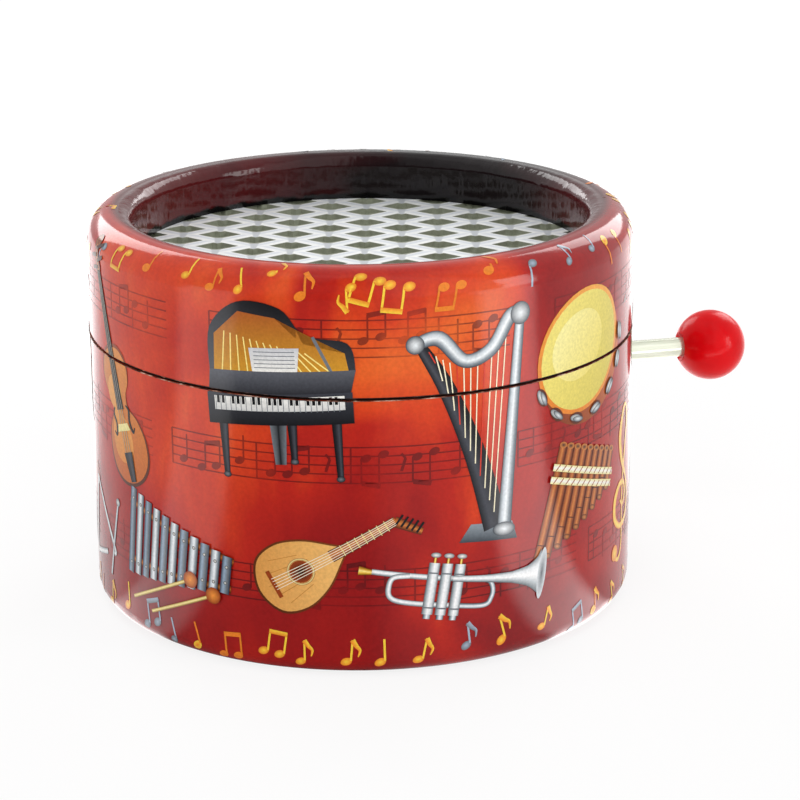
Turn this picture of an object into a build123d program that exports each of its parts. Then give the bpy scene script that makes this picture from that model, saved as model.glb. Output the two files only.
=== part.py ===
"""Hand-cranked music box in a round two-part board case.

A pinned cylinder, turned by a worm on the crank rod, plucks an eighteen-tooth comb.
Millimetres, +Z up. The origin is the middle of the underside, and +X runs along the crank's axis.
"""

import os
from math import pi

from build123d import *

# ---- Case ----
case_radius = 35.0  # outside of the printed paper
base_height = 35.4  # underside to seam
lid_height = 15.3  # seam to the top of the rim
paper = 0.3  # printed wrapping paper
seam_setback = 0.2  # the paper stops this far from the seam, on both halves
seam_bevel = 0.15  # worn edge of the board at the seam
lid_wall = 3.5  # board of the lid's tube
lid_fit = 0.25  # gap between the neck and the lid's bore
neck_wall = 1.6
neck_top_gap = 0.6  # between the neck and the ledge in the lid
neck_drop = 8.0  # glued below the seam
foot_round = 2.0  # outer edge at the underside
floor_thickness = 2.5
label_thickness = 0.3
label_inset = 5.0  # bare paper round the label
turn_in_width = 8.0  # paper folded under the base
disc_slack = 0.1  # round the discs in the case's bores

# ---- Lid top ----
rim_width = 6.0
rim_outer_round = 3.4
rim_inner_round = 1.8
well_depth = 6.3  # top of the rim to the grille
grille_thickness = 0.8
backing_thickness = 0.5
ledge_thickness = 1.5
ledge_width = 4.2

# ---- Expanded metal of the grille ----
mesh_long = 9.6  # centre to centre along the long way of the diamond
mesh_short = 6.1  # centre to centre along the short way
opening_long = 5.7
opening_short = 3.3
opening_dip = 0.35  # how far the far side of an opening dips at its middle
mesh_border = 1.2  # rim of the disc that is left whole
mesh_turn = -14.0  # the long way, in degrees from +X
mesh_shift_long = 0.55
mesh_shift_short = 2.9

# ---- Crank ----
crank_y = 7.0
rod_radius = 1.4
rod_bend = 2.8  # radius of the rod's bends, at its centre
arm_gap = 1.3  # between the case and the arm
handle_length = 18.7  # arm to the middle of the ball
table_gap = 1.2  # under the ball at the lowest point of its turn
rod_tail = 1.6  # the rod's inner end stands this far past the near cheek
wall_hole_gap = 0.7  # round the rod where it leaves the case
running_gap = 0.05  # radial, round every turning shaft
end_gap = 0.15  # axial, beside every turning piece
press_gap = 0.01  # radial, between pieces fixed on one shaft

# ---- Ball knob ----
ball_radius = 5.0
ball_mouth_radius = 2.1
ball_mouth_depth = 0.8
snap_height = 0.3  # ridge near the rod's end that keeps the ball on
snap_length = 1.2
snap_inset = 1.0  # from the middle of the ball back to the start of the ridge
rod_reach = 1.2  # the rod ends this far past the middle of the ball
rod_end_gap = 0.4

# ---- Worm and wheel ----
gear_module = 0.6
wheel_teeth = 18
worm_pitch_radius = 3.0
worm_turns = 4
worm_tip = 0.5  # thread above the pitch radius
worm_root = 0.7  # thread below the pitch radius
worm_tip_width = 0.5
worm_root_width = 1.0
worm_collar_radius = 2.2
wheel_tip = 0.5
wheel_root = 0.8
wheel_tip_width = 0.45
wheel_root_width = 1.05
wheel_width = 2.6
wheel_hub_radius = 3.0
wheel_hub_length = 1.0  # on the wall's side

# ---- Pinned cylinder ----
drum_x = 10.0
drum_radius = 6.5
drum_wall = 0.7
drum_length = 18.0
drum_worm_gap = 0.3  # between the drum's end and the worm's crest
cap_thickness = 1.2
arbor_radius = 0.9
arbor_stub = 0.5  # the arbor's ends stand this far past their bearings
pin_radius = 0.25
pin_height = 0.6
pin_depth = 0.4  # pressed into the wall
pins_per_note = 4
pin_scatter = 137.5  # degrees between one note's first pin and the next one's

# ---- Comb ----
note_count = 18
note_margin = 0.5  # between the outer notes and the ends of the drum
tooth_gap = 0.22
comb_thickness = 0.8
tip_gap = 0.25  # between the tips and the pins' path
tip_rise = 0.3  # underside of the comb above the drum's axis
tooth_longest = 15.5
tooth_shortest = 10.0
comb_heel = 8.4  # length of the comb behind its longest tooth
comb_margin = 1.2

# ---- Bedplate and bracket ----
bed_thickness = 2.2
bed_margin = 0.5  # bedplate outside what stands on it
bed_corner = 4.0
bed_gap = 0.4  # between the bedplate and the pins' path
cheek_thickness = 1.5
cheek_gap = 0.6  # between the wheel's tips and each cheek
cheek_half_depth = 1.9
cheek_boss_radius = 2.8
bracket_wall = 1.5
bracket_wall_rise = 3.0  # above the drum's axis
foot_length = 5.0
foot_depth = 6.0
foot_thickness = 1.5
lug_thickness = 2.0
lug_radius = 3.2

# ---- Screws ----
screw_radius = 1.0
screw_head_radius = 1.9
screw_head_height = 1.1
screw_bite = 1.8  # how deep the bracket's screws go into the bedplate
comb_screw_bite = 4.0
screw_slot_width = 0.5
screw_slot_depth = 0.5
screw_gap = 0.05
comb_screw_spread = 6.0  # each side of the comb's middle
mount_head_radius = 2.6
mount_head_height = 1.3
mount_inset = 4.2  # from the edges of the bedplate
mount_short = 0.3  # the mounting screws stop this far under the top of the bedplate

# ---- Worked out: heights, from the table up ----
board_foot_z = label_thickness + paper
floor_top = board_foot_z + floor_thickness
bed_top = floor_top + bed_thickness
pin_reach = drum_radius + pin_height
drum_z = bed_top + bed_gap + pin_reach
wheel_pitch_radius = gear_module * wheel_teeth / 2
wheel_reach = wheel_pitch_radius + wheel_tip
crank_z = drum_z + wheel_pitch_radius + worm_pitch_radius
case_height = base_height + lid_height
grille_top = case_height - well_depth
grille_foot = grille_top - grille_thickness
backing_foot = grille_foot - backing_thickness
ledge_foot = backing_foot - ledge_thickness
neck_top = ledge_foot - neck_top_gap

# ---- Worked out: radii of the case ----
board_radius = case_radius - paper
lid_bore = board_radius - lid_wall
label_radius = case_radius - label_inset
neck_radius = lid_bore - lid_fit
neck_bore = neck_radius - neck_wall
well_radius = case_radius - rim_width
disc_radius = lid_bore - disc_slack
outer_round = min(rim_outer_round, lid_wall)
inner_round = min(rim_inner_round, lid_bore - well_radius)

# ---- Worked out: along the drum ----
worm_crest_radius = worm_pitch_radius + worm_tip
wheel_y_high = crank_y + wheel_width / 2
drum_y_high = crank_y - worm_crest_radius - drum_worm_gap
drum_y_low = drum_y_high - drum_length
bracket_y_low = wheel_y_high + wheel_hub_length + end_gap
bracket_y_high = bracket_y_low + bracket_wall
lug_y_high = drum_y_low - end_gap
lug_y_low = lug_y_high - lug_thickness
arbor_y_low = lug_y_low - arbor_stub
arbor_y_high = bracket_y_high + arbor_stub
note_pitch = (drum_length - 2 * note_margin) / note_count
comb_y_mid = (drum_y_low + drum_y_high) / 2
first_note_y = comb_y_mid - note_pitch * (note_count - 1) / 2
comb_half_width = note_pitch * note_count / 2 + comb_margin

# ---- Worked out: along the crank ----
near_cheek_x = drum_x - wheel_reach - cheek_gap - cheek_thickness
far_cheek_x = drum_x + wheel_reach + cheek_gap
thread_pitch = pi * gear_module
rod_start_x = near_cheek_x - rod_tail
arm_x = case_radius + arm_gap + rod_radius
ball_x = arm_x + handle_length
rod_end_x = ball_x + rod_reach
crank_throw = crank_z - ball_radius - table_gap
ball_y = crank_y + crank_throw
tip_x = drum_x - pin_reach - tip_gap
comb_z = drum_z + tip_rise
comb_top = comb_z + comb_thickness
comb_back_x = tip_x - tooth_longest - comb_heel
seat_x_high = tip_x - tooth_longest
comb_screw_x = (comb_back_x + seat_x_high) / 2

# ---- Worked out: bedplate ----
foot_y = (bracket_y_low + bracket_y_high) / 2
foot_top = bed_top + foot_thickness
near_foot_x = near_cheek_x - foot_length
far_foot_x = far_cheek_x + cheek_thickness
bed_x_low = comb_back_x - bed_margin
bed_x_high = far_foot_x + foot_length + bed_margin
bed_y_low = lug_y_low - bed_margin
bed_y_high = foot_y + foot_depth / 2 + bed_margin
mount_x_low = bed_x_low + mount_inset
mount_x_high = bed_x_high - mount_inset
mount_y_low = bed_y_low + mount_inset
mount_y_high = bed_y_high - mount_inset

comb_screw_points = [(comb_screw_x, comb_y_mid + side * comb_screw_spread) for side in (-1, 1)]
bracket_screw_points = [(near_foot_x + foot_length / 2, foot_y), (far_foot_x + foot_length / 2, foot_y)]
mount_points = [(mount_x_low, mount_y_high), (mount_x_low, mount_y_low), (mount_x_high, mount_y_low)]


def export(builder, name):
    """Labels a finished piece and writes it as parts/NAME.step."""
    builder.part.label = name
    os.makedirs("parts", exist_ok=True)
    export_step(builder.part, f"parts/{name}.step")


def add_ring(inner_radius, outer_radius, z_low, z_high):
    """Adds a ring about Z to the part in hand."""
    with BuildSketch(Plane.XY.offset(z_low)) as profile:
        Circle(outer_radius)
        Circle(inner_radius, mode=Mode.SUBTRACT)
    extrude(profile.sketch, amount=z_high - z_low)


def add_post(points, radius, z_low, z_high, mode=Mode.ADD):
    """Adds, or with another mode cuts, a round post at each point of the part in hand."""
    with BuildSketch(Plane.XY.offset(z_low)) as profile:
        with Locations(*points):
            Circle(radius)
    extrude(profile.sketch, amount=z_high - z_low, mode=mode)


def round_edges(builder, z):
    """The round edges of a piece at height z, the widest one last."""
    level = builder.edges().filter_by(GeomType.CIRCLE).filter_by_position(Axis.Z, z - 0.01, z + 0.01)
    return level.sort_by(SortBy.RADIUS)


def cut_crank_hole():
    """Cuts the crank's way out through the wall in hand, on the +X side."""
    with BuildSketch(Plane.YZ.offset(neck_bore / 2)) as profile:
        with Locations((crank_y, crank_z)):
            Circle(rod_radius + wall_hole_gap)
    extrude(profile.sketch, amount=case_radius, mode=Mode.SUBTRACT)


# ---------------- Base of the case ----------------


def make_base_label():
    """Plain paper disc under the base, which the box stands on."""
    with BuildPart() as base_label:
        with BuildSketch():
            Circle(label_radius)
        extrude(amount=label_thickness)
    export(base_label, "base_label")


def make_base_tube():
    """Board tube of the lower half, rounded at the foot."""
    with BuildPart() as base_tube:
        add_ring(neck_radius, board_radius, board_foot_z, base_height)
        fillet(round_edges(base_tube, board_foot_z)[-1], foot_round - paper)
        chamfer(round_edges(base_tube, base_height), seam_bevel)
        cut_crank_hole()
    export(base_tube, "base_tube")


def make_base_wrap():
    """Printed paper round the lower half, folded in under the floor."""
    with BuildPart() as base_wrap:
        with BuildSketch(Plane.XZ):
            with BuildLine():
                top = base_height - seam_setback
                arc_x = case_radius - foot_round
                arc_z = label_thickness + foot_round
                fold_x = case_radius - turn_in_width
                Line((board_radius, top), (case_radius, top))
                Line((case_radius, top), (case_radius, arc_z))
                CenterArc((arc_x, arc_z), foot_round, 0, -90)
                Line((arc_x, label_thickness), (fold_x, label_thickness))
                Line((fold_x, label_thickness), (fold_x, board_foot_z))
                Line((fold_x, board_foot_z), (arc_x, board_foot_z))
                CenterArc((arc_x, arc_z), foot_round - paper, -90, 90)
                Line((board_radius, arc_z), (board_radius, top))
            make_face()
        revolve(axis=Axis.Z)
        cut_crank_hole()
    export(base_wrap, "base_wrap")


def make_base_floor():
    """Board disc in the foot of the tube, countersunk from below for the mounting screws."""
    with BuildPart() as base_floor:
        add_post([(0, 0)], neck_radius - disc_slack, board_foot_z, floor_top)
        add_post(mount_points, screw_radius + screw_gap, board_foot_z, floor_top, Mode.SUBTRACT)
        add_countersinks(screw_gap, Mode.SUBTRACT)
    export(base_floor, "base_floor")


def add_countersinks(gap, mode=Mode.ADD):
    """Adds, or cuts with a gap, the conical heads of the mounting screws in the floor's underside."""
    with Locations(*[(x, y, board_foot_z) for x, y in mount_points]):
        Cone(
            mount_head_radius + gap,
            screw_radius + gap,
            mount_head_height,
            align=(Align.CENTER, Align.CENTER, Align.MIN),
            mode=mode,
        )


def make_neck_ring():
    """Board collar glued in the lower half, which the lid slides over."""
    with BuildPart() as neck_ring:
        add_ring(neck_bore, neck_radius, base_height - neck_drop, neck_top)
        chamfer(round_edges(neck_ring, neck_top), seam_bevel)
    export(neck_ring, "neck_ring")


# ---------------- Lid ----------------


def make_lid_tube():
    """Board tube of the lid, rounded at the top."""
    with BuildPart() as lid_tube:
        add_ring(lid_bore, board_radius, base_height, case_height - paper)
        fillet(round_edges(lid_tube, case_height - paper)[-1], outer_round - paper)
        chamfer(round_edges(lid_tube, base_height), seam_bevel)
    export(lid_tube, "lid_tube")


def make_rim_ring():
    """Board ring that thickens the rim above the grille."""
    with BuildPart() as rim_ring:
        add_ring(well_radius + paper, lid_bore, grille_top, case_height - paper)
        fillet(round_edges(rim_ring, case_height - paper)[0], inner_round - paper)
    export(rim_ring, "rim_ring")


def make_lid_wrap():
    """Printed paper round the lid, over the rim and down its inner wall to the grille."""
    with BuildPart() as lid_wrap:
        with BuildSketch(Plane.XZ):
            with BuildLine():
                foot = base_height + seam_setback
                outer_x = case_radius - outer_round
                outer_z = case_height - outer_round
                inner_x = well_radius + inner_round
                inner_z = case_height - inner_round
                lining = well_radius + paper
                Line((board_radius, foot), (case_radius, foot))
                Line((case_radius, foot), (case_radius, outer_z))
                CenterArc((outer_x, outer_z), outer_round, 0, 90)
                Line((outer_x, case_height), (inner_x, case_height))
                CenterArc((inner_x, inner_z), inner_round, 90, 90)
                Line((well_radius, inner_z), (well_radius, grille_top))
                Line((well_radius, grille_top), (lining, grille_top))
                Line((lining, grille_top), (lining, inner_z))
                CenterArc((inner_x, inner_z), inner_round - paper, 180, -90)
                Line((inner_x, case_height - paper), (outer_x, case_height - paper))
                CenterArc((outer_x, outer_z), outer_round - paper, 90, -90)
                Line((board_radius, outer_z), (board_radius, foot))
            make_face()
        revolve(axis=Axis.Z)
    export(lid_wrap, "lid_wrap")


def make_grille():
    """Disc of flattened expanded metal. Each opening is a diamond with one side dipped at the middle."""
    rows = range(-int(disc_radius / mesh_short * 2) - 1, int(disc_radius / mesh_short * 2) + 2)
    columns = range(-int(disc_radius / mesh_long) - 2, int(disc_radius / mesh_long) + 3)
    centres = [
        (mesh_shift_long + (column + row % 2 / 2) * mesh_long, mesh_shift_short + row / 2 * mesh_short)
        for row in rows
        for column in columns
    ]
    with BuildPart() as grille:
        add_post([(0, 0)], disc_radius, grille_foot, grille_top)
        with BuildSketch(Plane.XY.offset(grille_foot).rotated((0, 0, mesh_turn))):
            with BuildSketch(mode=Mode.PRIVATE) as opening:
                with BuildLine():
                    Polyline(
                        (-opening_long / 2, 0),
                        (0, -opening_short / 2),
                        (opening_long / 2, 0),
                        (opening_long / 8, opening_short / 2),
                        (0, opening_short / 2 - opening_dip),
                        (-opening_long / 8, opening_short / 2),
                        close=True,
                    )
                make_face()
            with Locations(*centres):
                add(opening.sketch)
            Circle(disc_radius - mesh_border, mode=Mode.INTERSECT)
        extrude(amount=grille_thickness, mode=Mode.SUBTRACT)
    export(grille, "grille")


def make_grille_backing():
    """Grey sheet behind the grille."""
    with BuildPart() as grille_backing:
        add_post([(0, 0)], disc_radius, backing_foot, grille_foot)
    export(grille_backing, "grille_backing")


def make_ledge_ring():
    """Board ring that holds the grille and its backing up from below."""
    with BuildPart() as ledge_ring:
        add_ring(lid_bore - ledge_width, lid_bore, ledge_foot, backing_foot)
    export(ledge_ring, "ledge_ring")


# ---------------- Movement: fixed pieces ----------------


def make_bedplate():
    """Cast bedplate with the comb's seat, and with the lug that carries the drum's free end."""
    with BuildPart() as bedplate:
        with BuildSketch(Plane.XY.offset(floor_top)):
            with Locations(((bed_x_low + bed_x_high) / 2, (bed_y_low + bed_y_high) / 2)):
                RectangleRounded(bed_x_high - bed_x_low, bed_y_high - bed_y_low, bed_corner)
        extrude(amount=bed_thickness)
        with BuildSketch(Plane.XY.offset(bed_top)):
            with Locations(((comb_back_x + seat_x_high) / 2, comb_y_mid)):
                Rectangle(seat_x_high - comb_back_x, 2 * comb_half_width)
        extrude(amount=comb_z - bed_top)
        with BuildSketch(Plane.XZ.offset(-lug_y_high)):
            with Locations((drum_x, drum_z)):
                Circle(lug_radius)
            with Locations((drum_x, (bed_top + drum_z) / 2)):
                Rectangle(2 * lug_radius, drum_z - bed_top)
            with Locations((drum_x, drum_z)):
                Circle(arbor_radius + running_gap, mode=Mode.SUBTRACT)
        extrude(amount=lug_thickness)
        hole_radius = screw_radius + screw_gap
        add_post(comb_screw_points, hole_radius, comb_z - comb_screw_bite, comb_z, Mode.SUBTRACT)
        add_post(bracket_screw_points, hole_radius, bed_top - screw_bite, bed_top, Mode.SUBTRACT)
        add_post(mount_points, hole_radius, floor_top, bed_top - mount_short, Mode.SUBTRACT)
    export(bedplate, "bedplate")


def make_comb():
    """Steel comb, its teeth shorter towards the high notes."""
    shortening = (tooth_longest - tooth_shortest) / (note_count - 1)
    with BuildPart() as comb:
        with BuildSketch(Plane.XY.offset(comb_z)):
            with BuildLine():
                slope = shortening / note_pitch
                side_run = comb_half_width - note_pitch * (note_count - 1) / 2
                low_x = tip_x - tooth_longest - slope * side_run
                high_x = tip_x - tooth_shortest + slope * side_run
                Polyline(
                    (comb_back_x, comb_y_mid - comb_half_width),
                    (low_x, comb_y_mid - comb_half_width),
                    (high_x, comb_y_mid + comb_half_width),
                    (comb_back_x, comb_y_mid + comb_half_width),
                    close=True,
                )
            make_face()
            for note in range(note_count):
                length = tooth_longest - note * shortening + tooth_gap
                with Locations((tip_x - length / 2, first_note_y + note * note_pitch)):
                    Rectangle(length, note_pitch - tooth_gap)
            with Locations(*comb_screw_points):
                Circle(screw_radius + screw_gap, mode=Mode.SUBTRACT)
        extrude(amount=comb_thickness)
    export(comb, "comb")


def make_gear_bracket():
    """Bent steel bracket: two cheeks carry the crank rod and a wall carries the drum's geared end."""
    with BuildPart() as gear_bracket:
        for cheek_x in (near_cheek_x, far_cheek_x):
            with BuildSketch(Plane.YZ.offset(cheek_x)):
                cheek_y_low = crank_y - cheek_half_depth
                with Locations(((cheek_y_low + bracket_y_high) / 2, (bed_top + crank_z) / 2)):
                    Rectangle(bracket_y_high - cheek_y_low, crank_z - bed_top)
                with Locations((crank_y, crank_z)):
                    Circle(cheek_boss_radius)
                    Circle(rod_radius + running_gap, mode=Mode.SUBTRACT)
            extrude(amount=cheek_thickness)
        with BuildSketch(Plane.XZ.offset(-bracket_y_high)):
            wall_top = drum_z + bracket_wall_rise
            with Locations(((near_cheek_x + far_foot_x) / 2, (bed_top + wall_top) / 2)):
                Rectangle(far_foot_x - near_cheek_x, wall_top - bed_top)
            with Locations((drum_x, drum_z)):
                Circle(arbor_radius + running_gap, mode=Mode.SUBTRACT)
        extrude(amount=bracket_wall)
        with BuildSketch(Plane.XY.offset(bed_top)):
            with Locations(*bracket_screw_points):
                Rectangle(foot_length, foot_depth)
                Circle(screw_radius + screw_gap, mode=Mode.SUBTRACT)
        extrude(amount=foot_thickness)
    export(gear_bracket, "gear_bracket")


def make_slotted_screws(name, points, seat_z, hole_depth):
    """Group of round-headed slotted screws, seated at height seat_z, just short of their holes' ends."""
    with BuildPart() as screws:
        add_post(points, screw_radius, seat_z - hole_depth + screw_gap, seat_z)
        add_post(points, screw_head_radius, seat_z, seat_z + screw_head_height)
        head_top = seat_z + screw_head_height
        chamfer(round_edges(screws, head_top), screw_head_height / 5)
        with BuildSketch(Plane.XY.offset(head_top)):
            with Locations(*points):
                Rectangle(2 * screw_head_radius, screw_slot_width, rotation=30)
        extrude(amount=-screw_slot_depth, mode=Mode.SUBTRACT)
    export(screws, name)


def make_mount_screws():
    """Group of countersunk screws that hold the bedplate from below, flush with the floor's underside."""
    with BuildPart() as mount_screws:
        add_post(mount_points, screw_radius, board_foot_z, bed_top - mount_short - screw_gap)
        add_countersinks(0)
        with BuildSketch(Plane.XY.offset(board_foot_z)):
            with Locations(*mount_points):
                Rectangle(2 * mount_head_radius, screw_slot_width, rotation=30)
        extrude(amount=screw_slot_depth, mode=Mode.SUBTRACT)
    export(mount_screws, "mount_screws")


# ---------------- Movement: turning pieces ----------------


def make_drum():
    """Pinned brass tube. Each note has its pins in one ring, and the rings are turned by a steady angle."""
    with BuildPart() as drum:
        with BuildSketch(Plane.XZ.offset(-drum_y_high)):
            with Locations((drum_x, drum_z)):
                Circle(drum_radius)
                Circle(drum_radius - drum_wall, mode=Mode.SUBTRACT)
        extrude(amount=drum_length)
        pin_length = pin_height + pin_depth
        pin_middle = drum_radius - pin_depth + pin_length / 2
        for note in range(note_count):
            ring_centre = (drum_x, first_note_y + note * note_pitch, drum_z)
            with Locations(Plane(ring_centre, x_dir=(1, 0, 0), z_dir=(0, -1, 0))):
                with PolarLocations(pin_middle, pins_per_note, note * pin_scatter):
                    Cylinder(pin_radius, pin_length, rotation=(0, 90, 0))
    export(drum, "drum")


def make_drum_caps():
    """Two plugs that centre the drum on its arbor."""
    with BuildPart() as drum_caps:
        for cap_y in (drum_y_high, drum_y_low + cap_thickness):
            with BuildSketch(Plane.XZ.offset(-cap_y)):
                with Locations((drum_x, drum_z)):
                    Circle(drum_radius - drum_wall - press_gap)
                    Circle(arbor_radius + press_gap, mode=Mode.SUBTRACT)
            extrude(amount=cap_thickness)
    export(drum_caps, "drum_caps")


def make_drum_arbor():
    """Steel arbor of the drum, in the lug at one end and the bracket's wall at the other."""
    with BuildPart() as drum_arbor:
        with BuildSketch(Plane.XZ.offset(-arbor_y_high)):
            with Locations((drum_x, drum_z)):
                Circle(arbor_radius)
        extrude(amount=arbor_y_high - arbor_y_low)
    export(drum_arbor, "drum_arbor")


def make_worm_wheel():
    """Straight-toothed wheel on the drum's arbor, with a tooth at its top and a hub on each side."""
    root_radius = wheel_pitch_radius - wheel_root
    with BuildSketch() as tooth:
        with BuildLine():
            Polyline(
                (root_radius - wheel_tip, -wheel_root_width / 2),
                (root_radius, -wheel_root_width / 2),
                (wheel_reach, -wheel_tip_width / 2),
                (wheel_reach, wheel_tip_width / 2),
                (root_radius, wheel_root_width / 2),
                (root_radius - wheel_tip, wheel_root_width / 2),
                close=True,
            )
        make_face()
    with BuildPart() as worm_wheel:
        with BuildSketch(Plane.XZ.offset(-wheel_y_high)):
            with Locations((drum_x, drum_z)):
                Circle(root_radius)
                with PolarLocations(0, wheel_teeth, 90):
                    add(tooth.sketch)
        extrude(amount=wheel_width)
        hub_y_high = wheel_y_high + wheel_hub_length
        with BuildSketch(Plane.XZ.offset(-hub_y_high)):
            with Locations((drum_x, drum_z)):
                Circle(wheel_hub_radius)
        extrude(amount=hub_y_high - drum_y_high)
        with BuildSketch(Plane.XZ.offset(-hub_y_high)):
            with Locations((drum_x, drum_z)):
                Circle(arbor_radius + press_gap)
        extrude(amount=hub_y_high - drum_y_high, mode=Mode.SUBTRACT)
    export(worm_wheel, "worm_wheel")


def make_crank_rod():
    """Steel rod bent twice, from the worm inside the case to the ball, which a ridge keeps on."""
    with BuildPart() as crank_rod:
        with BuildLine(Plane.XY.offset(crank_z)) as route:
            FilletPolyline(
                (rod_start_x, crank_y),
                (arm_x, crank_y),
                (arm_x, ball_y),
                (rod_end_x, ball_y),
                radius=rod_bend,
            )
        with BuildSketch(Plane.YZ.offset(rod_start_x)):
            with Locations((crank_y, crank_z)):
                Circle(rod_radius)
        sweep(path=route.wire())
        with BuildSketch(Plane.YZ.offset(ball_x - snap_inset)):
            with Locations((ball_y, crank_z)):
                Circle(rod_radius + snap_height)
        extrude(amount=snap_length)
    export(crank_rod, "crank_rod")


def make_worm():
    """Single-start steel worm on the rod. Its thread starts above the axis, over the middle of the wheel."""
    thread_length = worm_turns * thread_pitch
    thread_start = drum_x - thread_length / 2
    collar_low = near_cheek_x + cheek_thickness + end_gap
    collar_high = far_cheek_x - end_gap
    core_radius = worm_pitch_radius - worm_root
    half_crest = 180 * worm_tip_width / thread_pitch
    half_foot = 180 * worm_root_width / thread_pitch
    flank_steps = 4

    def on_flank(side, step):
        """A point of the section's flank, which winds in from the thread's foot to its crest."""
        share = step / flank_steps
        radius = core_radius + (worm_crest_radius - core_radius) * share
        return Vector(0, radius).rotate(Axis.Z, side * (half_foot + (half_crest - half_foot) * share))

    with BuildSketch(Plane.YZ.offset(thread_start)) as section:
        with Locations((crank_y, crank_z)):
            with BuildSketch(mode=Mode.PRIVATE) as turn:
                with BuildLine():
                    Spline(*[on_flank(-1, step) for step in range(flank_steps + 1)])
                    Spline(*[on_flank(1, step) for step in range(flank_steps + 1)])
                    crest_top = (0, worm_crest_radius)
                    core_bottom = (0, -core_radius)
                    ThreePointArc(on_flank(-1, flank_steps), crest_top, on_flank(1, flank_steps))
                    ThreePointArc(on_flank(-1, 0), core_bottom, on_flank(1, 0))
                make_face()
            add(turn.sketch)
    axis_start = (thread_start, crank_y, crank_z)
    thread = Solid.extrude_linear_with_rotation(
        section.sketch.faces()[0], axis_start, (thread_length, 0, 0), worm_turns * 360
    )
    with BuildPart() as worm:
        add(thread)
        for low, high in ((collar_low, thread_start), (thread_start + thread_length, collar_high)):
            with BuildSketch(Plane.YZ.offset(low)):
                with Locations((crank_y, crank_z)):
                    Circle(worm_collar_radius)
            extrude(amount=high - low)
        with BuildSketch(Plane.YZ.offset(collar_low)):
            with Locations((crank_y, crank_z)):
                Circle(rod_radius + press_gap)
        extrude(amount=collar_high - collar_low, mode=Mode.SUBTRACT)
    export(worm, "worm")


def make_crank_ball():
    """Red ball that spins on the end of the rod, bored from the crank's side with a groove for the ridge."""
    bore_radius = rod_radius + running_gap
    bore_end = rod_end_x + rod_end_gap
    groove_low = ball_x - snap_inset - end_gap
    with BuildPart() as crank_ball:
        with Locations((ball_x, ball_y, crank_z)):
            Sphere(ball_radius)
        with BuildSketch(Plane.YZ.offset(bore_end)):
            with Locations((ball_y, crank_z)):
                Circle(bore_radius)
        extrude(amount=arm_x - bore_end, mode=Mode.SUBTRACT)
        with BuildSketch(Plane.YZ.offset(groove_low)):
            with Locations((ball_y, crank_z)):
                Circle(bore_radius + snap_height)
        extrude(amount=snap_length + 2 * end_gap, mode=Mode.SUBTRACT)
        mouth_x = ball_x - (ball_radius**2 - ball_mouth_radius**2) ** 0.5
        with BuildSketch(Plane.YZ.offset(mouth_x)):
            with Locations((ball_y, crank_z)):
                Circle(ball_mouth_radius)
        extrude(amount=arm_x - mouth_x, mode=Mode.SUBTRACT)
        with Locations(Plane((mouth_x, ball_y, crank_z), x_dir=(0, 1, 0), z_dir=(1, 0, 0))):
            Cone(
                ball_mouth_radius,
                bore_radius,
                ball_mouth_depth,
                align=(Align.CENTER, Align.CENTER, Align.MIN),
                mode=Mode.SUBTRACT,
            )
    export(crank_ball, "crank_ball")


make_base_label()
make_base_wrap()
make_base_tube()
make_base_floor()
make_neck_ring()
make_lid_wrap()
make_lid_tube()
make_rim_ring()
make_grille()
make_grille_backing()
make_ledge_ring()
make_bedplate()
make_comb()
make_slotted_screws("comb_screws", comb_screw_points, comb_top, comb_thickness + comb_screw_bite)
make_gear_bracket()
make_slotted_screws("bracket_screws", bracket_screw_points, foot_top, foot_thickness + screw_bite)
make_mount_screws()
make_drum()
make_drum_caps()
make_drum_arbor()
make_worm_wheel()
make_crank_rod()
make_worm()
make_crank_ball()
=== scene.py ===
"""Looks of the hand-cranked music box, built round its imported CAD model."""

import math
import random

import bmesh
import bpy
from mathutils import Matrix, Vector


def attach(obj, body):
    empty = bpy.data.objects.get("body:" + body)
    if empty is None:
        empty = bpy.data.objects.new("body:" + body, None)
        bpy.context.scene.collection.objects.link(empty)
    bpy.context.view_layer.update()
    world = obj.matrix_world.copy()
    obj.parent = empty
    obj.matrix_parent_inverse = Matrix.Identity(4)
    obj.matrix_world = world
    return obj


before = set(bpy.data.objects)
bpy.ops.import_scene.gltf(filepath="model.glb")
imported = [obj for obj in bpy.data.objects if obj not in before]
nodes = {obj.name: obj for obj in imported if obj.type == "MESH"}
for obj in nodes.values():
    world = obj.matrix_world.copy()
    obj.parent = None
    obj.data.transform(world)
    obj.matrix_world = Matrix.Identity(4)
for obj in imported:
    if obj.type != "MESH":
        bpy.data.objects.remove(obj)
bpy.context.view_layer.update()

# ---- Sizes, in millimetres, that repeat the CAD model's ----

MM = 0.001
CASE_RADIUS = 35.0
GIRTH = 2 * math.pi * CASE_RADIUS
SEAM = 35.4
SEAM_HALF = 0.2  # the paper stops this far from the seam, on both halves
TOP = 50.7
FOOT = 0.3
FOOT_ROUND = 2.0
RIM_ROUND = 3.4
GRILLE_TOP = 44.4
MESH_LONG = 9.6
MESH_SHORT = 6.1
OPENING_SHORT = 3.3
MESH_SHIFT = (0.55, 2.9)
MESH_TURN = math.radians(-14.0)

FRONT = math.radians(-104.0)  # the side that faces the camera, as a turn from +X

# ---- Nodes and materials ----

BASE_IOR = 1.45
VARNISH_IOR = 1.34
BALL_IOR = 1.32


def tone(red, green, blue):
    """A colour as it looks on a screen, 0 to 255, turned into light."""
    made = []
    for value in (red, green, blue):
        share = value / 255
        made.append(share / 12.92 if share <= 0.04045 else ((share + 0.055) / 1.055) ** 2.4)
    return tuple(made)


def tones(*colours):
    return tuple(tone(*colour) for colour in colours)


def pointer(turn, length=1.0):
    """A level arrow, `turn` radians from +X."""
    return (length * math.cos(turn), length * math.sin(turn), 0)


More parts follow.
